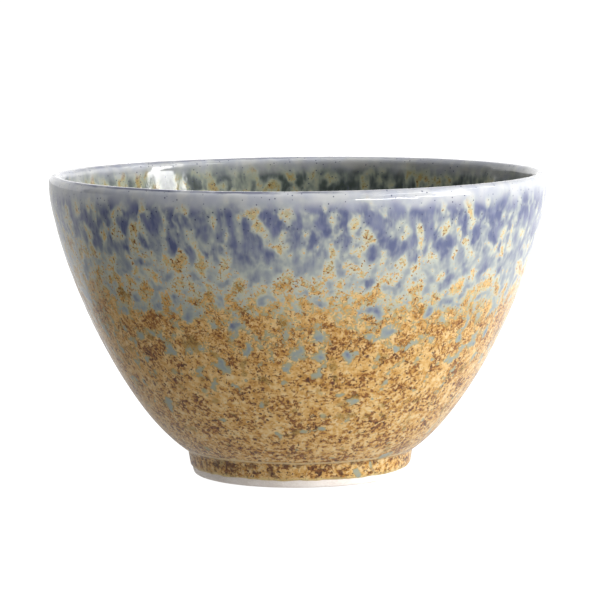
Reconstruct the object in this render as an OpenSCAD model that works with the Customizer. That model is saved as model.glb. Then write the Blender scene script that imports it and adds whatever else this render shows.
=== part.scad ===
// Matcha bowl: a thrown clay bowl on a luted foot ring, under its coats of glaze.
// The axis is +Z, and the origin is the centre of the foot, on the surface that the bowl stands on.
// Every coat follows one wall curve, which is the face of the outer glaze.
// A depth is how far something lies inside that face, and a cover is how far it lies above bare clay.

/* [Bowl] */
// Width across the glazed lip
rim_d = 120; // [112:1:130]
// Height from the table to the top of the lip
bowl_h = 73; // [66:1:80]
// Angle above level at which the wall leaves the foot
belly_angle = 33; // [30:1:40]
// How far the wall holds that angle before it turns up
belly_pull = 20; // [17:0.5:26]
// How far below the lip the wall begins to stand upright
upright_pull = 14; // [10:0.5:20]
// Angle by which the lip leans inwards
lip_lean = 3.5; // [0:0.5:5]

/* [Clay] */
// Thickness of the clay at the lip
lip_clay = 1.9; // [1.6:0.1:2.6]
// Thickness of the clay low on the wall
belly_clay = 3.4; // [2.8:0.1:4.2]
// Height of the clay floor at the centre of the bowl
floor_z = 9.8; // [9.2:0.1:11]
// How far from the centre the floor stays nearly flat
floor_pull = 18; // [12:1:22]
// How far down the wall its rounding into the floor begins
cove_pull = 7; // [4:0.5:9]

/* [Foot] */
// Width across the glazed foot where it meets the wall
foot_d = 55; // [50:1:60]
// Height from the table to that crease
foot_h = 5.7; // [4.8:0.1:7]
// Angle by which the foot's outer face tapers in towards the table
foot_taper = 11; // [5:1:16]
// Angle by which the foot's inner face opens out towards the table
well_taper = 12; // [8:1:16]
// Thickness of the foot ring where it meets the bowl
foot_clay = 6; // [5:0.5:8]
// Rounding of the foot's two bottom edges
foot_round = 0.7; // [0.4:0.1:1]
// Thickness of the slip that lutes the foot ring to the bowl
slip_t = 0.5; // [0.3:0.1:0.8]

/* [Glaze] */
// Thickness of the base glaze, inside and out
glaze_t = 0.35; // [0.25:0.05:0.5]
// Thickness of the second glaze, over the lip
rim_t = 0.25; // [0.2:0.05:0.4]
// How far the second glaze runs down the outside
run_out = 22; // [12:1:30]
// How far the second glaze runs down the inside
run_in = 9; // [5:1:16]
// Height of the bare clay at the bottom of the foot
bare_h = 1.8; // [1.4:0.1:2.4]

/* [Hidden] */

// Straight steps along the wall curve, the floor's curve, a quarter of the lip and a foot edge
wall_steps = 32;
floor_steps = 12;
lip_steps = 6;
edge_steps = 4;
// Place on the wall curve, from 0 at the foot to 1 at the lip, where the inside rounds into the floor
floor_share = 0.2;
// Steps over which the second glaze feathers out at its lower edges, and its thickness there
feather_steps = 4;
feather_t = 0.08;

// The lip is round about one centre, which every coat shares
lip_half = lip_clay / 2 + glaze_t;
wall_start = [foot_d / 2, foot_h];
wall_end = [rim_d / 2 - rim_t, bowl_h - rim_t - lip_half * (1 - sin(lip_lean))];
lip_centre = wall_end - lip_half * [cos(lip_lean), sin(lip_lean)];
wall = [
    wall_start,
    wall_start + belly_pull * [cos(belly_angle), sin(belly_angle)],
    wall_end + upright_pull * [sin(lip_lean), -cos(lip_lean)],
    wall_end
];

// A point and the unit heading of a cubic curve with control points p, at t from 0 to 1
function curve_at(p, t) =
    let (s = 1 - t)
    s * s * s * p[0] + 3 * s * s * t * p[1] + 3 * s * t * t * p[2] + t * t * t * p[3];
function heading_at(p, t) =
    let (s = 1 - t)
    let (v = s * s * (p[1] - p[0]) + 2 * s * t * (p[2] - p[1]) + t * t * (p[3] - p[2]))
    v / norm(v);

// A point that lies depth inside the glazed face of the wall
function wall_at(t, depth) =
    let (h = heading_at(wall, t))
    curve_at(wall, t) - depth * [h.y, -h.x];

// A point on the inside of the wall. The clay thins from the belly to the lip
function inside_at(t, cover) = wall_at(t, glaze_t + belly_clay + (lip_clay - belly_clay) * t + cover);

// The curve that rounds from the centre of the floor into the wall
function floor_curve(cover) =
    let (end = inside_at(floor_share, cover))
    [
        [0, floor_z + cover],
        [floor_pull, floor_z + cover],
        end - cove_pull * heading_at(wall, floor_share),
        end
    ];

first_inner = ceil(floor_share * wall_steps) + 1;

// The lip's two sides, and the line just inside its crown where the two base coats meet, as angles above level
outer_side = lip_lean;
inner_side = 180 + lip_lean;
lip_join = 96;

// A round part of the lip between two angles, after its first point
function lip_line(cover, from, to) = [
    for (i = [1 : lip_steps])
        let (a = from + (to - from) * i / lip_steps)
        lip_centre + (lip_clay / 2 + cover) * [cos(a), sin(a)]
];

// Up the outside to that line, and from the centre of the floor up the inside to it
function outside_line(cover) = concat(
    [for (i = [0 : wall_steps]) wall_at(i / wall_steps, glaze_t - cover)],
    lip_line(cover, outer_side, lip_join)
);
function inside_line(cover) = concat(
    [for (i = [0 : floor_steps]) curve_at(floor_curve(cover), i / floor_steps)],
    [for (i = [first_inner : wall_steps]) inside_at(i / wall_steps, cover)],
    lip_line(cover, inner_side, lip_join)
);

function reversed(points) = [for (i = [len(points) - 1 : -1 : 0]) points[i]];

// Up one line and back down another. A point that both end at is taken once
function there_and_back(up, down) =
    let (back = reversed(down))
    let (skipped = norm(up[len(up) - 1] - back[0]) < 0.001 ? 1 : 0)
    concat(up, [for (i = [skipped : len(back) - 1]) back[i]]);

// The second glaze starts at the first step above its lowest line, outside and inside
function first_above(heights, low) = [for (i = [0 : len(heights) - 1]) if (heights[i] > low) i][0];
rim_first_out = first_above([for (i = [0 : wall_steps]) wall_at(i / wall_steps, 0).y], bowl_h - run_out);
rim_first_in = first_above([for (i = [0 : wall_steps]) inside_at(i / wall_steps, 0).y], bowl_h - run_in);

// Its thickness grows from the feathered edge over the first steps
function feathered(steps_up) = feather_t + (rim_t - feather_t) * min(1, steps_up / feather_steps);

// Over the lip from edge to edge, where lift is 0 for its underside and 1 for its face
function rim_line(lift) = concat(
    [for (i = [rim_first_out : wall_steps]) wall_at(i / wall_steps, -lift * feathered(i - rim_first_out))],
    lip_line(glaze_t + lift * rim_t, outer_side, lip_join),
    lip_line(glaze_t + lift * rim_t, lip_join, inner_side),
    [
        for (i = [wall_steps - 1 : -1 : rim_first_in])
            inside_at(i / wall_steps, glaze_t + lift * feathered(i - rim_first_in))
    ]
);

// The foot's two faces at a height: the outer one lies depth inside its glaze, the inner one has a cover
clay_start = wall_at(0, glaze_t);
slip_top = clay_start.y;
ring_top = slip_top - slip_t;
function foot_out(z, depth) = [wall_start.x - (foot_h - z) * tan(foot_taper) - depth / cos(foot_taper), z];
function foot_in(z, cover) =
    [foot_out(ring_top, glaze_t).x - foot_clay + (ring_top - z) * tan(well_taper) - cover / cos(well_taper), z];

// A rounded bottom edge of the foot, from the table up, where side is 1 for the outer one and -1 for the inner
function foot_edge(corner, side, taper) =
    let (centre = [corner.x - side * foot_round * (1 - sin(taper)) / cos(taper), foot_round])
    [
        for (i = [0 : edge_steps])
            let (a = (90 - taper) * i / edge_steps)
            centre + foot_round * [side * sin(a), -cos(a)]
    ];

module turned(points) {
    rotate_extrude($fn = 96) polygon(points);
}

module bowl_body() {
    color("#cdbb99")
    turned(concat([[0, slip_top]], there_and_back(outside_line(0), inside_line(0))));
}

module foot_ring() {
    color("#e6dcc6")
    turned(concat(
        [foot_out(ring_top, glaze_t), foot_in(ring_top, 0)],
        reversed(foot_edge(foot_in(0, 0), -1, well_taper)),
        foot_edge(foot_out(0, glaze_t), 1, foot_taper)
    ));
}

// The slip fills the joint between the bowl and its foot ring
module luting_slip() {
    color("#b9a27c")
    turned([foot_in(ring_top, 0), foot_out(ring_top, glaze_t), clay_start, foot_in(slip_top, 0)]);
}

module inner_glaze() {
    color("#3a4c4e")
    turned(there_and_back(inside_line(0), inside_line(glaze_t)));
}

module outer_glaze() {
    color("#b98a4c")
    turned(there_and_back(outside_line(0), outside_line(glaze_t)));
}

// The second glaze lies over both base coats at the lip
module rim_glaze() {
    color("#8f9bb0")
    turned(there_and_back(rim_line(0), rim_line(1)));
}

module foot_glaze() {
    color("#a9702f")
    turned([
        wall_start,
        clay_start,
        foot_out(ring_top, glaze_t),
        foot_out(bare_h, glaze_t),
        foot_out(bare_h, 0)
    ]);
}

// The glaze of the recess under the bowl, inside the foot ring
module well_glaze() {
    color("#b08a50")
    turned([
        [0, slip_top],
        foot_in(slip_top, 0),
        foot_in(bare_h, 0),
        foot_in(bare_h, glaze_t),
        foot_in(slip_top - glaze_t, glaze_t),
        [0, slip_top - glaze_t]
    ]);
}

bowl_body();
foot_ring();
luting_slip();
inner_glaze();
outer_glaze();
rim_glaze();
foot_glaze();
well_glaze();
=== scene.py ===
from math import cos, pi, radians, sin

import bmesh
import bpy
import numpy as np
from mathutils import Euler, Matrix, Vector, noise


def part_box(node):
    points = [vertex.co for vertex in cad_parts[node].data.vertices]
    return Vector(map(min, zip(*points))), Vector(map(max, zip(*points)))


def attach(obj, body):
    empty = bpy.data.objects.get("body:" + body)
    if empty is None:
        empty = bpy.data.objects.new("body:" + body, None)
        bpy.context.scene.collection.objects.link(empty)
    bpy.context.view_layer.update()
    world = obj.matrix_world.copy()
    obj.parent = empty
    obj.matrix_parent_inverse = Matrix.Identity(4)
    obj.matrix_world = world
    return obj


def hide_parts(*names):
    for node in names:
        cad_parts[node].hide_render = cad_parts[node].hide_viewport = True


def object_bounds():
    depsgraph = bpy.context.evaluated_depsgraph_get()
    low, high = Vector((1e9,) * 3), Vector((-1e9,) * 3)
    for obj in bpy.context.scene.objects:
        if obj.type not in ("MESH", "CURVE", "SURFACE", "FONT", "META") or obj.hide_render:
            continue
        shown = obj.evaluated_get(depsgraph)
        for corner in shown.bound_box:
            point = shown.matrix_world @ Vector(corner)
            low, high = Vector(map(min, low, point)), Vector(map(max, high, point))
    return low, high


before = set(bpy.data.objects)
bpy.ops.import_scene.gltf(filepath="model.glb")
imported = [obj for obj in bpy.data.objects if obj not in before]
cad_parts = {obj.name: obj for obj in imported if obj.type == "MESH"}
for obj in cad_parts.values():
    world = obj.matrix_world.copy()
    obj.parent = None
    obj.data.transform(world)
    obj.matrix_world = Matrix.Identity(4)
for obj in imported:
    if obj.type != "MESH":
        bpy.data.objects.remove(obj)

cad_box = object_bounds()

MM = 0.001
TURNS = 400                # points round each turned piece
ANGLES = 2 * pi * np.arange(TURNS) / TURNS
FINE = 0.45 * MM           # spacing along a visible line
COARSE = 2.5 * MM          # spacing along a hidden line
CLAY_SPACING = 0.3 * MM    # spacing along the foot ring's line
FLAT_RATIO = 9             # a step this many times as long as its neighbours is a flat face
SHARP = radians(42)        # an edge that turns by more than this is shaded sharp
SEAM = 2e-6                # how near a turned node's seam plane a vertex lies
BAKE_UV = "OFBake"
# The bake map: where its two tall strips begin and how tall they are, the same for hidden faces, the margin
STRIPS_V, STRIP_TALL, HIDDEN_V, HIDDEN_TALL, MARGIN = (0.01, 0.505), 0.475, 0.985, 0.01, 0.01

MOUTH_Z = cad_box[1][2]
OVAL, OVAL_TURN = 0.2 * MM, radians(170)
OVAL_Z = 10 * MM, MOUTH_Z                         # the oval grows between these heights
LIP_WAVE = 0.15 * MM
LIP_WAVE_Z = MOUTH_Z - 18 * MM, MOUTH_Z           # and so does the lip's rise and fall,
INSIDE_WAVES_Z = 52 * MM, 64 * MM                 # the glaze's waves inside,
CALM_Z = MOUTH_Z - 4.5 * MM, MOUTH_Z - 2 * MM     # and its calm at the lip
FOOT_FILLET = 1.0 * MM     # glaze pooled in the crease over the foot
WELL_FILLET = 1.4 * MM     # glaze pooled round the recess under the bowl
EDGE_ROLL = 0.7 * MM       # rounding of a glaze's lower edge
BEAD = 0.05 * MM           # how far the glaze of the foot swells over that rounding
SUNK = 0.02 * MM           # how far the second glaze's feathered edges lie inside the first
TRIM_RINGS = 0.03 * MM     # height of the rings in the recess
TOOL_MARKS = 0.012 * MM    # depth of the marks on the foot's clay
PERLIN_SPREAD = 0.14       # standard deviation of one octave of a noise node
RELIEF = 0.05 * MM         # height of the fine relief in a glaze
GRIT = 0.03 * MM           # height of the fine relief in clay


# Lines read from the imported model

def outline(node):
    """A turned node's outline on its seam, in order, as (radius, height) pairs."""
    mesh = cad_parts[node].data
    joined = {}
    for edge in mesh.edges:
        a, b = (mesh.vertices[i].co for i in edge.vertices)
        if max(abs(a.y), abs(b.y)) > SEAM or min(a.x, b.x) < -SEAM:
            continue
        a, b = ((round(p.x, 6), round(p.z, 6)) for p in (a, b))
        if a != b:
            joined.setdefault(a, set()).add(b)
            joined.setdefault(b, set()).add(a)
    ends = sorted(p for p in joined if len(joined[p]) == 1)
    line = [max(ends, key=lambda p: p[1]) if ends else min(joined)]
    while True:
        onward = [p for p in sorted(joined[line[-1]]) if p not in line]
        if not onward:
            return np.array(line)
        line.append(onward[0])


def lowest(line):
    """The two ends of a coat's bottom edge, the one nearer the axis first."""
    low = line[np.isclose(line[:, 1], line[:, 1].min(), atol=SEAM)]
    return low[low[:, 0].argmin()], low[low[:, 0].argmax()]


def rising(line, column=1):
    """The line, in the direction in which that column grows."""
    return line if line[0, column] <= line[-1, column] else line[::-1]


def runs(line, closed, corner=radians(50)):
    """The line's smooth runs, parted at its sharp corners."""
    if closed:
        line = np.concatenate([line, line[:2]])
    steps = np.diff(line, axis=0)
    heading = np.arctan2(steps[:, 1], steps[:, 0])
    turned = np.abs((np.diff(heading) + pi) % (2 * pi) - pi)
    cuts = [i + 1 for i in np.flatnonzero(turned > corner)]
    if closed:
        line = np.concatenate([line[cuts[0]:-2], line[:cuts[0] + 1]])
        cuts = [i - cuts[0] for i in cuts[1:]]
    cuts = [0] + [i for i in cuts if 0 < i < len(line) - 1] + [len(line) - 1]
    return [line[a:b + 1] for a, b in zip(cuts, cuts[1:])]


def run_along(line):
    """How far along a line each of its points lies."""
    return np.concatenate([[0], np.cumsum(np.linalg.norm(np.diff(line, axis=0), axis=1))])


def between(at, run, line):
    """The points of a line at some distances along it."""
    return np.stack([np.interp(at, run, line[:, i]) for i in (0, 1)], axis=-1)


def refined(line, spacing):
    """A smooth line through the points, in even steps. A step far longer than its neighbours is straight."""
    line = np.asarray(line)
    run = run_along(line)
    slope = np.gradient(line, run, axis=0, edge_order=2 if len(line) > 2 else 1)
    at = np.linspace(0, run[-1], max(2, round(run[-1] / spacing) + 1))
    i = np.clip(np.searchsorted(run, at) - 1, 0, len(run) - 2)
    h = (run[i + 1] - run[i])[:, None]
    u = (at - run[i])[:, None] / h
    curved = ((2 * u**3 - 3 * u**2 + 1) * line[i] + (u**3 - 2 * u**2 + u) * h * slope[i]
              + (3 * u**2 - 2 * u**3) * line[i + 1] + (u**3 - u**2) * h * slope[i + 1])
    steps = np.pad(np.diff(run), 1, mode="edge")
    flat = steps[1:-1] > FLAT_RATIO * np.minimum(steps[:-2], steps[2:])
    return np.where(flat[i][:, None], line[i] + u * (line[i + 1] - line[i]), curved)


def filleted(before, corner, after, radius, steps=6):
    """An arc of that radius in the corner between two neighbours of it."""
    into, out = corner - before, after - corner
    into, out = into / np.linalg.norm(into), out / np.linalg.norm(out)
    side = np.sign(into[0] * out[1] - into[1] * out[0])
    turn = np.arccos(np.clip(into @ out, -1, 1))
    start = corner - into * radius * np.tan(turn / 2)
    centre = start + side * radius * np.array([-into[1], into[0]])
    arm = start - centre
    spin = side * np.linspace(0, turn, 2 * steps + 1)
    return centre + np.stack([arm[0] * np.cos(spin) - arm[1] * np.sin(spin),
                              arm[0] * np.sin(spin) + arm[1] * np.cos(spin)], axis=1)


def beyond(line, point):
    """The part of a line after its place nearest a point."""
    return line[int(np.argmin(np.linalg.norm(line - point, axis=1))) + 1:]


def outward(line):
    """Unit normals on the right-hand side of a line, which is the open side of a coat."""
    step = np.gradient(line, axis=0)
    step /= np.linalg.norm(step, axis=1)[:, None]
    return np.stack([step[:, 1], -step[:, 0]], axis=1)


def ease(value, low, high):
    """0 below low, 1 above high, and a smooth step between."""
    share = np.clip((value - low) / (high - low), 0, 1)
    return share * share * (3 - 2 * share)


def swell(points, size, seed, squash=1.0):
    """Smooth noise from about -1 to 1 at every point, with bumps of that size."""
    at = points.reshape(-1, 3) / size * (1, 1, squash) + 31.7 * seed
    return 1.6 * np.array([noise.noise(p) for p in at.tolist()]).reshape(points.shape[:-1])


def wavy(seed, *waves):
    """How far an edge rises and falls round the axis, from the height in mm and the length of each wave."""
    ring = np.stack([np.cos(ANGLES), np.sin(ANGLES), 0 * ANGLES], axis=-1)
    return sum(height * MM * swell(ring, size, seed + i) for i, (height, size) in enumerate(waves))


# Turned solids with uneven faces. Rows are (radius, height) points, one row or one for each angle

def spun(rows):
    """Points round the axis."""
    rows = np.asarray(rows)
    if rows.ndim == 2:
        rows = np.repeat(rows[:, None, :], TURNS, axis=1)
    return np.stack([rows[..., 0] * np.cos(ANGLES), rows[..., 0] * np.sin(ANGLES), rows[..., 1]], axis=-1)


def settled(points):
    """The fired bowl's departures from round: an oval mouth, and a lip that isn't quite level."""
    angle = np.arctan2(points[..., 1], points[..., 0])
    height = points[..., 2]
    spread = OVAL * np.cos(2 * (angle - OVAL_TURN)) * ease(height, *OVAL_Z)
    lip = LIP_WAVE * ease(height, *LIP_WAVE_Z)
    moved = points.copy()
    moved[..., 0] += spread * np.cos(angle)
    moved[..., 1] += spread * np.sin(angle)
    moved[..., 2] += lip * (0.6 * np.sin(2 * angle + 1.1) + 0.4 * np.sin(3 * angle + 4.0))
    return moved


def unwrapped(rows, bands, visible):
    """Each corner's place on the bake map: the visible face as two strips of half a turn, the rest as one."""
    run = run_along(rows[:visible, 0])
    share = np.concatenate([run / run[-1], np.zeros(len(rows) - visible)])
    half = TURNS // 2
    corners = np.zeros((len(bands), TURNS, 4, 2))
    j = np.arange(TURNS)
    for band, (low, high) in enumerate(bands):
        if max(low, high) < visible:
            left = (j % half) / half
            step = 1 / half
            base = np.where(j < half, *STRIPS_V)
            v_low, v_high = base + STRIP_TALL * share[low], base + STRIP_TALL * share[high]
        else:
            left = j / TURNS
            step = 1 / TURNS
            v_low = np.full(TURNS, HIDDEN_V + HIDDEN_TALL * band / len(bands))
            v_high = v_low + HIDDEN_TALL / len(bands)
        right = left + step
        for k, (u, v) in enumerate(((left, v_low), (right, v_low), (right, v_high), (left, v_high))):
            corners[band, :, k, 0] = MARGIN + (1 - 2 * MARGIN) * u
            corners[band, :, k, 1] = v
    return corners


def solid(name, face, back, poles=False):
    """A closed mesh object from the rows of its visible face, and those of its hidden one, which run back to
    where the face starts. With poles, the face ends on the axis and the back starts there."""
    rows = np.concatenate([face, back])
    count = len(rows)
    bands = [(i, i + 1) for i in range(count - 1)] + [(count - 1, 0)]
    if poles:
        bands.remove((len(face) - 1, len(face)))
    low = np.array([a for a, b in bands])[:, None]
    high = np.array([b for a, b in bands])[:, None]
    j = np.arange(TURNS)[None, :]
    k = (j + 1) % TURNS
    quads = np.stack([low * TURNS + j, low * TURNS + k, high * TURNS + k, high * TURNS + j], axis=-1)
    mesh = bpy.data.meshes.new(name)
    mesh.from_pydata(rows.reshape(-1, 3).tolist(), [], quads.reshape(-1, 4).tolist())
    layer = mesh.uv_layers.new(name=BAKE_UV)
    layer.data.foreach_set("uv", unwrapped(rows, bands, len(face)).ravel())
    form = bmesh.new()
    form.from_mesh(mesh)
    form.verts.ensure_lookup_table()
    if poles:
        rings = [form.verts[row * TURNS:(row + 1) * TURNS] for row in (len(face) - 1, len(face))]
        for ring in rings:
            bmesh.ops.pointmerge(form, verts=ring, merge_co=(0, 0, ring[0].co.z))
    bmesh.ops.recalc_face_normals(form, faces=form.faces)
    form.to_mesh(mesh)
    form.free()
    mesh.polygons.foreach_set("use_smooth", [True] * len(mesh.polygons))
    mesh.set_sharp_from_angle(angle=SHARP)
    piece = bpy.data.objects.new(name, mesh)
    bpy.context.scene.collection.objects.link(piece)
    return piece


def glaze_lift(points):
    """How far a glazed face rises and falls: slow swells, runs down the wall, a fine orange peel, and waves
    high on the inside. The lip is smoother."""
    radius = np.hypot(points[..., 0], points[..., 1])
    height = points[..., 2]
    inside = ease(np.interp(height, *WALL_MIDDLE) - radius, 0, MM) * ease(height, *INSIDE_WAVES_Z)
    calm = 1 - 0.9 * ease(height, *CALM_Z)
    return (0.045 * MM * swell(points, 17 * MM, 1) * (0.4 + 0.6 * calm)
            + 0.03 * MM * swell(points, 7 * MM, 2, squash=0.4) * calm
            + (0.1 * MM * swell(points, 6.5 * MM, 4) + 0.045 * MM * swell(points, 3.2 * MM, 5)) * inside
            + 0.008 * MM * swell(points, 2.2 * MM, 3) * calm)


def coated(line, normals):
    """A glazed face's rows of points, with its uneven lift."""
    points = spun(line)
    return settled(points + spun(normals) * glaze_lift(points)[..., None])


# The bowl's base coats: one line up the outside, over the lip and down the inside to the middle of the floor

outer_runs = runs(outline("outer_glaze"), closed=True)
widest = max(outer_runs, key=lambda run: run[:, 0].max())
outer_face = rising(widest)
outer_clay = rising(max((run for run in outer_runs if run is not widest), key=len))[::-1]
inner_runs = runs(outline("inner_glaze"), closed=False)
inner_face, inner_clay = inner_runs[0], inner_runs[-1]

foot_line = outline("foot_glaze")
foot_clay_low, foot_face_low = lowest(foot_line)
# Heights, and the radius half-way through the wall at each
middle_z = np.array([9.8, 12, 15, 20, 27, 35, 45, 55, 65, 72]) * MM
middle_radius = (np.interp(middle_z, outer_face[:, 1], outer_face[:, 0])
                 + np.interp(middle_z, inner_face[:, 1], inner_face[:, 0])) / 2
WALL_MIDDLE = np.insert(middle_z, 0, (0, 9 * MM)), np.insert(middle_radius, 0, (-9 * MM, -9 * MM))

crease = outer_face[0]
crease_arc = filleted(foot_face_low, crease, outer_face[1], FOOT_FILLET)
arc_middle = len(crease_arc) // 2

lip_top = refined(np.concatenate([outer_face, inner_face[::-1][1:]]), FINE)
wall_start = beyond(lip_top, crease_arc[-1])
skin = np.concatenate([crease_arc[arc_middle:], wall_start])
skin_out = outward(skin)
join = int(np.argmin(np.linalg.norm(skin - outer_face[-1], axis=1)))


def base_coats():
    """The two base coats, which meet along the lip."""
    faces = coated(skin, skin_out)
    outer = solid("outer_coat", faces[:join + 1], settled(spun(refined(outer_clay, COARSE))))
    inner_back = rising(refined(inner_clay, COARSE), column=0)
    inner_back[0, 0] = 0
    inner = solid("inner_coat", faces[join:], settled(spun(inner_back)), poles=True)
    return outer, inner


def lip_coat():
    """The second glaze, which has run down from the lip and ends in uneven tongues."""
    line = outline("rim_glaze")
    ridge = outer_face[-1, 0]
    low_out = line[line[:, 0] > ridge][:, 1].min()
    low_in = line[line[:, 0] < ridge][:, 1].min()
    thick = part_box("rim_glaze")[1].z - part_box("outer_glaze")[1].z
    run = run_along(skin)
    start = run[np.argmin(abs(skin[:join, 1] - low_out))]
    end = run[join + np.argmin(abs(skin[join:, 1] - low_in))]
    starts = start + wavy(11, (1.6, 0.16), (1.1, 0.07))
    ends = end + wavy(13, (1.2, 0.2), (0.8, 0.08))

    def rows(count, lift_of):
        share = np.linspace(0, 1, count)[:, None]
        at = starts + (ends - starts) * share
        points, ways = spun(between(at, run, skin)), spun(between(at, run, skin_out))
        depth = np.minimum(at - starts, ends - at)
        lift = glaze_lift(points) + lift_of(depth)
        return settled(points + ways * lift[..., None])

    def above(depth):
        return -SUNK + (thick + SUNK) * (0.35 * ease(depth, 0, 1.5 * MM) + 0.65 * ease(depth, 0, 9 * MM))

    def below(depth):
        return -SUNK - 0.03 * MM * ease(depth, 0, 2 * MM)

    count = round((end - start) / FINE)
    face = rows(count, above)
    back = rows(count // 4, below)[::-1]
    return solid("lip_coat", face, back)


def rolled(depth):
    """The share of a glaze's full thickness at a distance from its rounded lower edge."""
    return np.sqrt(np.clip(1 - (1 - np.clip(depth / EDGE_ROLL, 0, 1)) ** 2, 0, 1))


def foot_coat():
    """The glaze on the outside of the foot, from the crease to a rolled and wavy lower edge."""
    edge = wavy(21, (0.13, 0.13), (0.06, 0.045))
    straight = refined([foot_face_low, crease_arc[0]], FINE / 2)
    face_line = np.concatenate([straight, crease_arc[1:arc_middle + 1]])
    run = run_along(face_line)
    thick = np.linalg.norm(foot_face_low - foot_clay_low)
    # The rows crowd together where the edge rolls over
    share = np.concatenate([[0, 0.004, 0.012, 0.03, 0.055, 0.09], np.linspace(0.13, 1, 26)])[:, None]
    at = edge + (run[-1] - edge) * share
    up = (face_line[1] - face_line[0]) / run[1]
    points = between(at, run, face_line) + np.minimum(at, 0)[..., None] * up
    depth = at - edge
    roll = rolled(depth)
    bead = BEAD * ease(depth, 0, EDGE_ROLL) * (1 - ease(depth, EDGE_ROLL, 4 * EDGE_ROLL))
    sunk = thick * (1 - roll) - bead
    ways = spun(np.broadcast_to((up[1], -up[0]), points.shape))
    lift = glaze_lift(spun(points)) * roll * ease(share, -0.2, 0.3) - sunk
    face = settled(spun(points) + ways * lift[..., None])
    clay_top = foot_line[np.isclose(foot_line[:, 1], foot_line[:, 1].max(), atol=SEAM)][0]
    back_share = np.linspace(1, 0, 6)[:, None]
    clay_low = foot_clay_low + edge[:, None] * up
    back = clay_low + (clay_top - clay_low) * back_share[..., None]
    return solid("foot_coat", face, settled(spun(back))[:-1])


def well_coat():
    """The glaze of the recess under the bowl, with faint rings where the foot was trimmed."""
    line = outline("well_glaze")
    face_low, clay_low = lowest(line)
    clay_high = line[line[:, 1].argmax()]
    face_high = line[np.isclose(line[:, 0], line[:, 0].min(), atol=SEAM)][0]
    ceiling = np.array([0, face_high[1]])
    arc = filleted(face_low, face_high, ceiling, WELL_FILLET)
    side = refined([face_low, arc[0]], FINE / 2)
    flat = refined([arc[-1], ceiling], FINE)
    path = np.concatenate([side[:-1], arc, flat[1:]])
    edge = wavy(31, (0.2, 0.15))
    points = np.repeat(path[:, None, :], TURNS, axis=1)
    points[..., 1] += edge * ease(face_high[1] - path[:, 1], 0, face_high[1] - face_low[1])[:, None]
    thick = np.linalg.norm(face_low - clay_low)
    depth = np.abs(path[:, 1] - face_low[1]) + (path[:, 1] > arc[0][1]) * EDGE_ROLL
    roll = rolled(depth)[:, None]
    rings = TRIM_RINGS * np.sin(path[:, 0] / (0.55 * MM)) * ease(path[:, 0], 0, 3 * MM)
    uneven = glaze_lift(spun(points)) * roll * ease(path[:, 0], 0, MM)[:, None]
    lift = uneven + rings[:, None] - thick * (1 - roll)
    face = spun(points) + spun(-outward(path)) * lift[..., None]
    face[-1] = (0, 0, face[-1, :, 2].mean())
    back = [clay_high * (0, 1), clay_high * (0.5, 1), clay_high, (clay_high + clay_low) / 2, clay_low]
    return solid("well_coat", face, spun(back), poles=True)


def foot_body():
    """The foot ring's clay, with the rounded edges and faint tool lines of a trimmed foot."""
    sides = runs(outline("foot_ring"), closed=True)
    line = np.concatenate([refined(side, CLAY_SPACING)[:-1] for side in sides])
    onward = np.roll(line, -1, axis=0)
    if np.sum(line[:, 0] * onward[:, 1] - line[:, 1] * onward[:, 0]) < 0:
        line = line[::-1]
    points = spun(line)
    lines = np.sin(line[:, 1] / (0.11 * MM) + line[:, 0] / (0.13 * MM))
    lift = TOOL_MARKS * (lines[:, None] + swell(points, 0.9 * MM, 41) - 2)
    face = points + spun(outward(line)) * lift[..., None]
    return solid("foot_clay", face[:-1], face[-1:])


# Materials

def ink(code):
    """A scene colour from its sRGB code."""
    values = [int(code[i:i + 2], 16) / 255 for i in (1, 3, 5)]
    return tuple(v / 12.92 if v <= 0.04045 else ((v + 0.055) / 1.055) ** 2.4 for v in values) + (1.0,)


def feed(tree, socket, value):
    """Links a value to a socket, or sets it there."""
    if isinstance(value, Field):
        value = value.socket
    if isinstance(value, bpy.types.NodeSocket):
        tree.links.new(value, socket)
    else:
        socket.default_value = value


class Field:
    """A number that varies over a surface: one node's output. Arithmetic on it adds Math nodes."""

    def __init__(self, shader, socket):
        self.shader, self.socket = shader, socket

    def math(self, operation, *others):
        return self.shader.math(operation, self, *others)

    def __add__(self, other):
        return self.math("ADD", other)

    def __sub__(self, other):
        return self.math("SUBTRACT", other)

    def __rsub__(self, other):
        return self.shader.math("SUBTRACT", other, self)

    def __mul__(self, other):
        return self.math("MULTIPLY", other)

    def __neg__(self):
        return self.math("MULTIPLY", -1.0)

    __radd__, __rmul__ = __add__, __mul__


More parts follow.
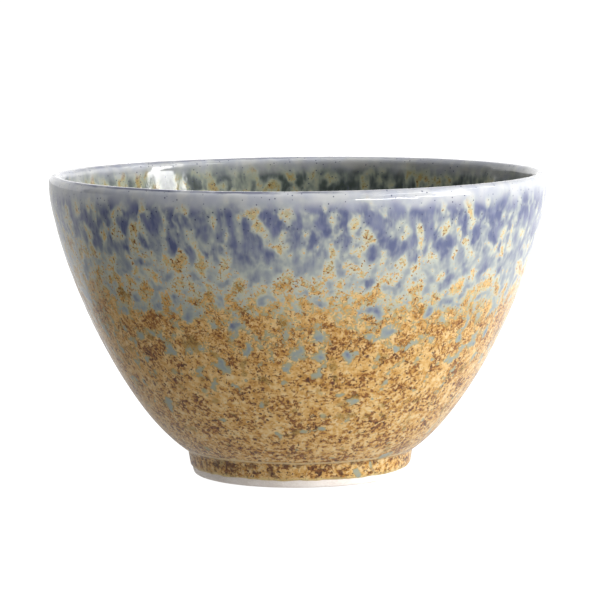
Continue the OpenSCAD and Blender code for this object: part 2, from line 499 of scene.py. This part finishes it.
class Shader:
    """A material round one Principled shader, whose patterns are laid out in millimetres on the object."""

    # A Mix node's sockets for its share and for two colours
    MIX_INPUTS, MIX_OUTPUT = (0, 6, 7), 2

    def __init__(self, name, **values):
        self.material = bpy.data.materials.new(name)
        self.material.use_nodes = True
        self.nodes = self.material.node_tree.nodes
        self.surface = self.nodes["Principled BSDF"]
        for key, value in values.items():
            self.surface.inputs[key.replace("_", " ")].default_value = value
        where = self.nodes.new("ShaderNodeTexCoord").outputs["Object"]
        self.place = self.vector("SCALE", where, scale=1 / MM)
        parts = self.add("SeparateXYZ", Vector=self.place)
        self.x, self.y, self.z = (Field(self, parts.outputs[i]) for i in range(3))

    def feed(self, socket, value):
        feed(self.material.node_tree, socket, value)

    def add(self, kind, settings=None, **inputs):
        node = self.nodes.new("ShaderNode" + kind)
        for key, value in (settings or {}).items():
            setattr(node, key, value)
        for key, value in inputs.items():
            self.feed(node.inputs[key], value)
        return node

    def math(self, operation, *values, clamp=False):
        node = self.add("Math", {"operation": operation, "use_clamp": clamp})
        for socket, value in zip(node.inputs, values):
            self.feed(socket, value)
        return Field(self, node.outputs[0])

    def vector(self, operation, *values, scale=None):
        node = self.add("VectorMath", {"operation": operation})
        for socket, value in zip(node.inputs, values):
            self.feed(socket, value)
        if scale is not None:
            self.feed(node.inputs["Scale"], scale)
        return node.outputs[0]

    def noise(self, size, detail=2.0, rough=0.5, place=None):
        """Cloudy noise about 0, in units of its own spread, with bumps of that size."""
        node = self.add("TexNoise", Vector=place or self.place, Scale=1 / size, Detail=detail,
                        Roughness=rough)
        weights = [rough ** k * min(1, detail + 1 - k) for k in range(int(detail) + 2) if k < detail + 1]
        spread = PERLIN_SPREAD * sum(w * w for w in weights) ** 0.5 / sum(weights)
        return (Field(self, node.outputs["Fac"]) - 0.5) * (1 / spread)

    def drift(self, size, reach):
        """The place, pushed about by soft noise, so that what is drawn there has no straight lines."""
        node = self.add("TexNoise", Vector=self.place, Scale=1 / size, Detail=1.5)
        push = self.vector("SUBTRACT", node.outputs["Color"], (0.5, 0.5, 0.5))
        return self.vector("ADD", self.place, self.vector("SCALE", push, scale=2 * reach))

    def moved(self, place, x=0.0, y=0.0, z=0.0):
        """The place some way off, so that what is drawn there differs from what is drawn here."""
        return self.vector("ADD", place, (x, y, z))

    def squashed(self, place, factor):
        """The place with its height scaled, so that what is drawn there is drawn out up and down."""
        return self.vector("MULTIPLY", place, (1.0, 1.0, factor))

    def dots(self, spacing, radius, share, place=None):
        """1 in round dots, 0 between them. A share of the cells holds one."""
        node = self.add("TexVoronoi", Vector=place or self.place, Scale=1 / spacing)
        pick = self.add("SeparateColor", Color=node.outputs["Color"])
        size = self.math("SQRT", self.step(Field(self, pick.outputs[0]), 1 - share, 1.0))
        edge = size * (radius / spacing)
        within = edge - Field(self, node.outputs["Distance"])
        return self.math("DIVIDE", within, edge * 0.5 + 0.001, clamp=True)

    def step(self, value, low, high, smooth=True):
        """0 below low, 1 above high, and a smooth step between. Low may be the higher one."""
        node = self.add("MapRange", {"interpolation_type": "SMOOTHSTEP" if smooth else "LINEAR"}, Value=value)
        self.feed(node.inputs["From Min"], low)
        self.feed(node.inputs["From Max"], high)
        return Field(self, node.outputs["Result"])

    def curve(self, value, points):
        """A number that follows another through (value, result) points."""
        xs, ys = zip(*points)
        low, high = min(ys), max(ys)
        start, length = xs[0], xs[-1] - xs[0]
        shares = [((x - start) / length, ((y - low) / (high - low),) * 3 + (1.0,)) for x, y in points]
        along = self.step(value, xs[0], xs[-1], smooth=False)
        return Field(self, self.ramp(along, shares)) * (high - low) + low

    def ramp(self, value, stops):
        node = self.add("ValToRGB", Fac=value)
        marks = node.color_ramp.elements
        while len(marks) < len(stops):
            marks.new(0.5)
        for mark, (position, colour) in zip(marks, stops):
            mark.position = position
            mark.color = ink(colour) if isinstance(colour, str) else colour
        return node.outputs["Color"]

    def mix(self, share, below, above, blend="MIX"):
        """One colour over another, as far as a share says."""
        node = self.add("Mix", {"data_type": "RGBA", "blend_type": blend})
        for index, value in zip(self.MIX_INPUTS, (share, below, above)):
            self.feed(node.inputs[index], ink(value) if isinstance(value, str) else value)
        return node.outputs[self.MIX_OUTPUT]

    def finish(self, colour, roughness, height, depth):
        """Joins the patterns to the surface. The relief is height times depth."""
        self.feed(self.surface.inputs["Base Color"], colour)
        self.feed(self.surface.inputs["Roughness"], roughness)
        bump = self.add("Bump", Height=height)
        bump.inputs["Distance"].default_value = depth
        self.feed(self.surface.inputs["Normal"], bump.outputs["Normal"])
        return self.material


# By height in millimetres, outside and inside: how far the blue glaze covers the amber one, and how much of
# it is deep in colour
OUT_COVER = [(0, -2.4), (18, -2.1), (27, -1.7), (35, -1.15), (40, -0.8), (46, -0.2), (50, 0.8), (56, 1.9),
             (62, 2.6), (68, 3.0), (75, 3.6)]
OUT_DEEP = [(0, -3.0), (30, -1.5), (48, -1.1), (56, -0.6), (61, 0.0), (65, 0.7), (68.5, 1.3), (70.3, 0.4),
            (71.5, -3.0)]
IN_COVER = [(0, 0.6), (12, 0.5), (30, 0.4), (45, 0.8), (58, 1.4), (66, 1.7), (70, 2.6), (75, 3.2)]
IN_DEEP = [(0, 0.8), (20, -0.2), (45, 0.2), (60, 0.6), (66, 0.4), (70.3, -0.6), (71.5, -3.0)]
# By height: how raggedly the amber grain tears the blue glaze, how milky the blue is, how soft its edges are
RAGGED = [(0, 0.1), (30, 0.35), (40, 0.7), (48, 1.2), (56, 1.7), (66, 1.8), (73, 0.4)]
MILKY = [(0, 1.4), (34, 1.4), (48, 1.1), (60, 0.85), (73, 0.8)]
SOFT = [(0, 0.25), (40, 0.3), (50, 0.8), (60, 1.3), (73, 1.3)]
# By height: how crowded the brown flecks are, and the plum blotches under the crease over the foot
CROWD = [(0, 0.3), (12, -0.1), (28, 0.0), (44, 0.45), (60, 0.75), (75, 0.75)]
UNDER_CREASE = [(1, -2.5), (3, -0.6), (5.2, 0.6), (7, -0.8), (9, -3)]
# Heights of the painted highlight, a pale line over the foot where the glaze in the crease catches the light,
# and of where the pale lip sets in and is full
PAINTED_FOOT_HIGHLIGHT_Z, LIP_BAND = 6.4, (67.2, 71.9)
# The broken dark lines on the lip, as the radius, half the width and the strength of each
CROWN_LINES = [(59.05, 0.55, 0.8), (57.7, 0.5, 0.4)]
# Colours of each glaze, from the darkest amber to the palest, and from the thinnest blue to the thickest
AMBER = [(0.1, "#c08738"), (0.35, "#d7a252"), (0.55, "#ebbc72"), (0.75, "#f6d192"), (0.95, "#f8deae")]
BLUE_LOW = [(0.0, "#b0a67c"), (0.12, "#b1b096"), (0.35, "#a7afa6"), (0.65, "#9aa4a8"), (1.0, "#8c96a6")]
BLUE_HIGH = [(0.0, "#cfc59c"), (0.09, "#d8d5ba"), (0.2, "#d6d8c7"), (0.36, "#c5cac3"), (0.52, "#b0b7b7"),
             (0.74, "#9fa6b0"), (1.0, "#939aaa")]


class ReactiveGlaze(Shader):
    """Two glazes that ran into each other in the kiln: a granular amber one, and a milky blue one over it."""

    def __init__(self, name, ior):
        super().__init__(name, IOR=ior)
        self.radius = self.math("SQRT", self.x * self.x + self.y * self.y)
        middle = [(float(z / MM), float(r / MM)) for z, r in zip(*WALL_MIDDLE)]
        self.inside = self.step(self.radius - self.curve(self.z, middle), 0.3, -0.3)
        self.outside = 1.0 - self.inside
        self.loose, self.close = self.drift(8, 1.3), self.drift(1.4, 0.25)
        self.fibres = self.noise(0.8, 2, 0.6, place=self.squashed(self.loose, 0.12))
        self.streaks = self.noise(3.4, 2, 0.5, place=self.squashed(self.moved(self.loose, y=60), 0.6))
        self.mottle = self.noise(1.5, 2, 0.6, place=self.moved(self.close, z=90))
        self.set_grain()
        self.set_cover()

    def by_side(self, outer, inner):
        """One curve over height outside, and another inside."""
        outer, inner = self.curve(self.z, outer), self.curve(self.z, inner)
        return outer + (inner - outer) * self.inside

    def set_grain(self):
        """The grain of the amber glaze, which is finer high on the wall."""
        fine = self.noise(0.6, 2, 0.6, place=self.close)
        coarse = self.noise(1.0, 2.5, 0.6, place=self.squashed(self.moved(self.close, x=50), 1.3))
        self.grain = coarse + (fine - coarse) * self.step(self.z, 20, 40)

    def set_cover(self):
        """How far the blue glaze covers the amber one, in units of its own spread, and where it tears."""
        islands = self.noise(3.2, 2, 0.45, place=self.moved(self.squashed(self.loose, 0.9), z=15))
        tongues = self.noise(2.9, 2, 0.45, place=self.moved(self.squashed(self.loose, 0.7), x=20))
        self.islands = islands + (tongues * 1.25 - islands) * self.step(self.z, 50, 60)
        patches = self.noise(9, 1, 0.5, place=self.moved(self.loose, y=25))
        lopsided = self.x * self.step(self.z, 40, 60) * 0.011
        self.depth = self.by_side(OUT_COVER, IN_COVER) + self.islands + patches * 0.35 + lopsided
        ragged = self.curve(self.z, RAGGED) * self.step(self.depth, 2.8, 1.0) * (1.0 - self.inside * 0.5)
        self.torn = self.depth + self.grain * ragged

    def amber(self):
        """The ground: golden glaze with brown, cream, olive and plum flecks, and a few drops of the blue."""
        high = self.step(self.z, 26, 50)
        clumps = self.noise(5.0, 2.5, 0.55, place=self.loose)
        colour = self.ramp((self.mottle * 0.8 + clumps * 0.2) * -0.17 + 0.5, AMBER)
        colour = self.mix(self.step(self.z, 50, 63) * 0.55, colour, "#dccf9f")
        crowd = clumps * 0.45 + self.curve(self.z, CROWD)
        brown = self.step(self.grain + crowd, 0.4, 1.25)
        colour = self.mix(brown * 0.92, colour, self.mix(high, "#87501f", "#a56a26"))
        cream = self.step(self.grain * -1.0 - crowd * 0.4, 0.8, 1.8)
        colour = self.mix(cream * 0.7, colour, self.mix(high, "#f8dfae", "#ecbf86"))
        darker = self.noise(0.75, 2, 0.6, place=self.moved(self.close, y=70))
        dark = self.step(darker + crowd * 0.5, 1.05, 1.65)
        colour = self.mix(dark * 0.9, colour, self.mix(high, "#4c2717", "#824c1a"))
        olive = self.step(self.noise(4.2, 2, 0.5, place=self.moved(self.loose, x=40)), 1.2, 2.2)
        colour = self.mix(olive * 0.5, colour, "#86702c")
        plum = self.dots(2.6, 0.7, 0.4, place=self.close) * self.step(self.z, 46, 30)
        colour = self.mix(plum * 0.8, colour, "#54292c")
        drops = self.dots(5.5, 1.0, 0.3, place=self.moved(self.drift(2, 0.6), z=33))
        return self.mix(drops * self.step(self.z, 44, 34) * 0.75, colour, "#a3ad90")

    def foot_marks_and_highlight(self, colour):
        """Plum blotches under the crease, a pale margin where the glaze ends, and a pale line over the foot
        that is a painted highlight.
        """
        under = self.noise(2.5, 2, 0.6, place=self.close) + self.curve(self.z, UNDER_CREASE)
        colour = self.mix(self.step(under, 0.2, 1.6) * 0.6, colour, "#5a3620")
        colour = self.mix(self.step(self.z + self.mottle * 0.12, 2.9, 1.9) * 0.7, colour, "#ecd596")
        # Painted highlight: a pale line along the crease over the foot, where the pooled glaze catches the
        # light
        line = self.step(self.math("ABSOLUTE", self.z - PAINTED_FOOT_HIGHLIGHT_Z + self.noise(9, 1) * 0.05), 0.45, 0.1)
        return self.mix(line * 0.7, colour, "#f6e0b4")

    def blue(self, colour):
        """The milky blue glaze over the ground, creamy at its edges and greyer where it lies thicker."""
        thick = self.depth * self.curve(self.z, MILKY) * 0.25
        blue = self.mix(self.step(self.z, 38, 54), self.ramp(thick, BLUE_LOW), self.ramp(thick, BLUE_HIGH))
        soft = self.curve(self.z, SOFT)
        return self.mix(self.step(self.torn, -soft, soft * 0.7), colour, blue)

    def deep_runs(self, colour):
        """Deep blue in soft runs below the lip, and in the middle of the islands."""
        pool = (self.islands * 0.8 + self.streaks * (0.6 - self.inside * 0.25) + self.fibres * 0.28
                + self.by_side(OUT_DEEP, IN_DEEP) + self.x * self.step(self.z, 48, 60) * 0.007)
        share = self.step(pool, -1.1, 3.2) * self.step(self.depth + self.grain * 0.15, 0.2, 3.0)
        deep = self.mix(self.step(self.streaks + self.fibres * 0.3, -1.4, 1.6), "#7a80a4", "#626a92")
        colour = self.mix(share, colour, self.mix(self.inside, deep, "#5b6567"))
        return self.mix(self.inside, colour, self.mix(1.0, colour, "#d4d8ce", blend="MULTIPLY"))

    def lip(self, colour):
        """The pale lip, where the glaze has drained from the edge, its broken dark lines, and blue specks. The
        dark lines are left off the lit right-hand side, which stays pale as painted light.
        """
        height = self.z + self.noise(5, 1, place=self.loose) * 0.45 + self.fibres * 0.06 - self.inside * 0.6
        pale = self.mix(self.step(self.streaks, -1.7, 1.7), "#c8cbd8", "#dddee1")
        colour = self.mix(self.step(height, *LIP_BAND) * 0.94, colour, pale)
        # The dark lines are the glaze's own colour, but they stop short of the right-hand side, where the
        # light falls: the pale lip left there is painted light
        crown_off_lit_side = self.step(self.z, 71.6, 72.2) * self.step(self.x, 30, -10)
        broken = self.step(self.noise(6, 2, 0.5), -2.5, 0.5) * crown_off_lit_side
        for middle, half, share in CROWN_LINES:
            off = self.math("ABSOLUTE", self.radius - middle + self.noise(7, 1) * 0.06)
            colour = self.mix(self.step(off, half, half * 0.3) * broken * share, colour, "#484e72")
        specks = self.dots(1.0, 0.25, 0.8) * self.step(self.z, 54, 66)
        return self.mix(specks * 0.85, colour, "#3d4468")


def reactive_glaze(name, ior):
    """The material of one coat, glossy where the blue glaze lies and satin where the amber one shows."""
    s = ReactiveGlaze(name, ior)
    colour = s.lip(s.deep_runs(s.blue(s.foot_marks_and_highlight(s.amber()))))
    colour = s.mix(1.0, colour, "#dddddb", blend="MULTIPLY")
    rough = 0.035 + (0.19 * s.step(s.torn, 0.3, -0.4) + s.step(s.grain, -1.5, 2) * 0.05) * s.outside
    calm = s.step(s.z, 71, 68.5) * (1.0 - s.inside * 0.5)
    relief = (s.step(s.depth, -0.8, 1.4) * 0.6 + s.grain * 0.05) * calm
    return s.finish(colour, rough, relief, RELIEF)


def clay(name, dark, light, speck):
    """Bare fired clay: fine grit, faint tool lines and a few iron specks."""
    s = Shader(name, IOR=1.45)
    grit = s.noise(0.35, 3, 0.7)
    lines = s.noise(0.7, 2, 0.6, place=s.squashed(s.place, 3.0))
    stain = s.noise(6, 2, 0.5)
    colour = s.ramp((grit * 0.3 + lines * 0.25 + stain * 0.5) * 0.25 + 0.5, [(0.25, dark), (0.75, light)])
    colour = s.mix(s.dots(2.2, 0.16, 0.25) * 0.7, colour, speck)
    rough = 0.62 + grit * 0.06
    return s.finish(colour, rough, grit * 0.3 + lines * 0.3, GRIT)


outer_coat, inner_coat = base_coats()
lip_piece = lip_coat()
foot_glaze = foot_coat()
well_glaze = well_coat()
foot_clay = foot_body()

bare_clay = clay("bare_porcelain", "#ece2da", "#fbf4ee", "#a58a72")
body_clay = clay("body_clay", "#b9ab94", "#d9cdb8", "#7c6248")
slip_clay = clay("luting_slip_clay", "#a8967a", "#c9b898", "#6c5438")

for piece, node, slot, material in (
        (outer_coat, "outer_glaze", "amber_glaze", reactive_glaze("outer_reactive_glaze", 1.47)),
        (inner_coat, "inner_glaze", "inner_glaze", reactive_glaze("inner_reactive_glaze", 1.46)),
        (lip_piece, "rim_glaze", "blue_glaze", reactive_glaze("lip_reactive_glaze", 1.46)),
        (foot_glaze, "foot_glaze", "foot_glaze", reactive_glaze("foot_reactive_glaze", 1.47)),
        (well_glaze, "well_glaze", "well_glaze", reactive_glaze("well_reactive_glaze", 1.47)),
        (foot_clay, "foot_ring", "foot_clay", bare_clay)):
    piece.data.materials.append(material)
    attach(piece, "root")
    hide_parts(node)

for node, material in (("bowl_body", body_clay), ("luting_slip", slip_clay)):
    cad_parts[node].material_slots[0].material = material


# The studio

# The photograph's camera, solved together with the bowl's wall curve
CAMERA = Vector((0.252, -726.3, 124.52)) * MM
CAMERA_PITCH, CAMERA_ROLL = radians(6.492), radians(0.479)
FOCAL_PIXELS, SENSOR, PICTURE = 3002.4, 36.0, 600
# The strength of the air at the front, from left to right, behind the bowl, above it, and for the camera
AIR_FRONT, AIR_BEHIND, AIR_ABOVE, AIR_SHOWN = (0.06, 1.3), 1.35, 0.42, 1.2
# The floor is paper on a light table, even for the camera. For the bowl it glows more at the right end of its
# reach than at the left one: as light, in reflections, and in reflections of the floor behind the bowl
FLOOR_LIT, FLOOR_MIRRORED, FLOOR_FAR = (0.06, 0.72), (0.0, 1.2), (0.75, 1.3)
FLOOR_REACH, FLOOR_SHOWN, FLOOR_GREY, FLOOR_GREY_MIRRORED = 0.15, 0.97, 0.3, 0.05
# Its radius, how far it lies below the foot, and between which places it passes into the floor behind the bowl
FLOOR_RADIUS, FLOOR_DROP, FLOOR_FAR_Y = 60, 0.02 * MM, (0.02, 0.12)
# Every light faces this place
AIM = Vector((0, 0, 0.04))
# Name, azimuth and elevation in degrees, distance, width and height in metres, radiance
LIGHTS = (
    ("window", 73, 12, 1.6, 0.5, 0.66, 15.5),
    ("low_tube", 46, 1.2, 1.6, 1.25, 0.035, 50),
    ("high_tube", 76, 38, 1.6, 1.9, 0.09, 18),
    ("overhead", -50, 76, 1.5, 1.2, 1.2, 1.8))


def place_camera():
    data = bpy.data.cameras.new("camera")
    data.sensor_width = SENSOR
    data.lens = FOCAL_PIXELS * SENSOR / PICTURE
    data.clip_end = 100
    camera = bpy.data.objects.new("camera", data)
    turn = Euler((pi / 2 - CAMERA_PITCH, 0, 0)).to_matrix() @ Matrix.Rotation(-CAMERA_ROLL, 3, "Z")
    camera.matrix_world = Matrix.Translation(CAMERA) @ turn.to_4x4()
    bpy.context.scene.collection.objects.link(camera)
    bpy.context.scene.camera = camera


def softbox(name, azimuth, elevation, distance, width, height, radiance):
    """A rectangular light that faces the bowl. Azimuth is from the front towards the right-hand side."""
    data = bpy.data.lights.new(name, "AREA")
    data.shape = "RECTANGLE"
    data.size, data.size_y = width, height
    data.energy = radiance * pi * width * height
    lamp = bpy.data.objects.new(name, data)
    a, e = radians(azimuth), radians(elevation)
    away = Vector((sin(a) * cos(e), -cos(a) * cos(e), sin(e)))
    facing = away.to_track_quat("Z", "Y").to_matrix().to_4x4()
    lamp.matrix_world = Matrix.Translation(AIM + away * distance) @ facing
    bpy.context.scene.collection.objects.link(lamp)


def studio_air():
    """White for the camera. For the bowl it is bright behind, dim at the left and brighter at the right."""
    world = bpy.data.worlds.new("studio")
    bpy.context.scene.world = world
    world.use_nodes = True
    tree = world.node_tree
    tree.nodes.clear()

    def add(kind, settings=None, *values):
        node = tree.nodes.new("ShaderNode" + kind)
        for key, value in (settings or {}).items():
            setattr(node, key, value)
        for socket, value in zip(node.inputs, values):
            feed(tree, socket, value)
        return node

    def step(value, low, high, first, last):
        return add("MapRange", {"interpolation_type": "SMOOTHSTEP"}, value, low, high, first, last).outputs[0]

    x, y, z = add("SeparateXYZ", None, add("TexCoord").outputs["Generated"]).outputs
    front = step(x, 0.0, 0.95, *AIR_FRONT)
    level = step(y, 0.4, 0.44, front, AIR_BEHIND)
    sky = step(z, 0.25, 0.6, level, AIR_ABOVE)
    strength = step(add("LightPath").outputs["Is Camera Ray"], 0.0, 1.0, sky, AIR_SHOWN)
    background = add("Background", None, (1.0, 1.0, 1.0, 1.0), strength)
    add("OutputWorld", None, background.outputs[0])


def studio_floor():
    mesh = bpy.data.meshes.new("floor")
    form = bmesh.new()
    below = Matrix.Translation((0, 0, -FLOOR_DROP))
    bmesh.ops.create_circle(form, cap_ends=True, radius=FLOOR_RADIUS, segments=96, matrix=below)
    form.to_mesh(mesh)
    form.free()
    floor = bpy.data.objects.new("floor", mesh)
    bpy.context.scene.collection.objects.link(floor)
    paper = bpy.data.materials.new("white_paper")
    paper.use_nodes = True
    nodes, links = paper.node_tree.nodes, paper.node_tree.links
    surface = nodes["Principled BSDF"]
    surface.inputs["Roughness"].default_value = 1.0
    surface.inputs["Specular IOR Level"].default_value = 0.0
    surface.inputs["Emission Color"].default_value = (1.0, 1.0, 1.0, 1.0)
    path = nodes.new("ShaderNodeLightPath").outputs
    parts = nodes.new("ShaderNodeSeparateXYZ")
    links.new(nodes.new("ShaderNodeTexCoord").outputs["Object"], parts.inputs[0])

    def level(value, *limits):
        node = nodes.new("ShaderNodeMapRange")
        for socket, limit in zip(node.inputs, (value, *limits)):
            feed(paper.node_tree, socket, limit)
        return node.outputs["Result"]

    glow = level(parts.outputs["X"], -FLOOR_REACH, FLOOR_REACH, *FLOOR_LIT)
    mirrored = level(parts.outputs["X"], -FLOOR_REACH, FLOOR_REACH, *FLOOR_MIRRORED)
    behind = level(parts.outputs["X"], -FLOOR_REACH, FLOOR_REACH, *FLOOR_FAR)
    mirrored = level(parts.outputs["Y"], *FLOOR_FAR_Y, mirrored, behind)
    glow = level(path["Is Glossy Ray"], 0.0, 1.0, glow, mirrored)
    links.new(level(path["Is Camera Ray"], 0.0, 1.0, glow, FLOOR_SHOWN), surface.inputs["Emission Strength"])
    bounce = level(path["Is Glossy Ray"], 0.0, 1.0, FLOOR_GREY, FLOOR_GREY_MIRRORED)
    links.new(level(path["Is Camera Ray"], 0.0, 1.0, bounce, FLOOR_GREY), surface.inputs["Base Color"])
    mesh.materials.append(paper)


place_camera()
studio_air()
studio_floor()
for light in LIGHTS:
    softbox(*light)
bpy.context.scene.view_settings.view_transform = "Standard"
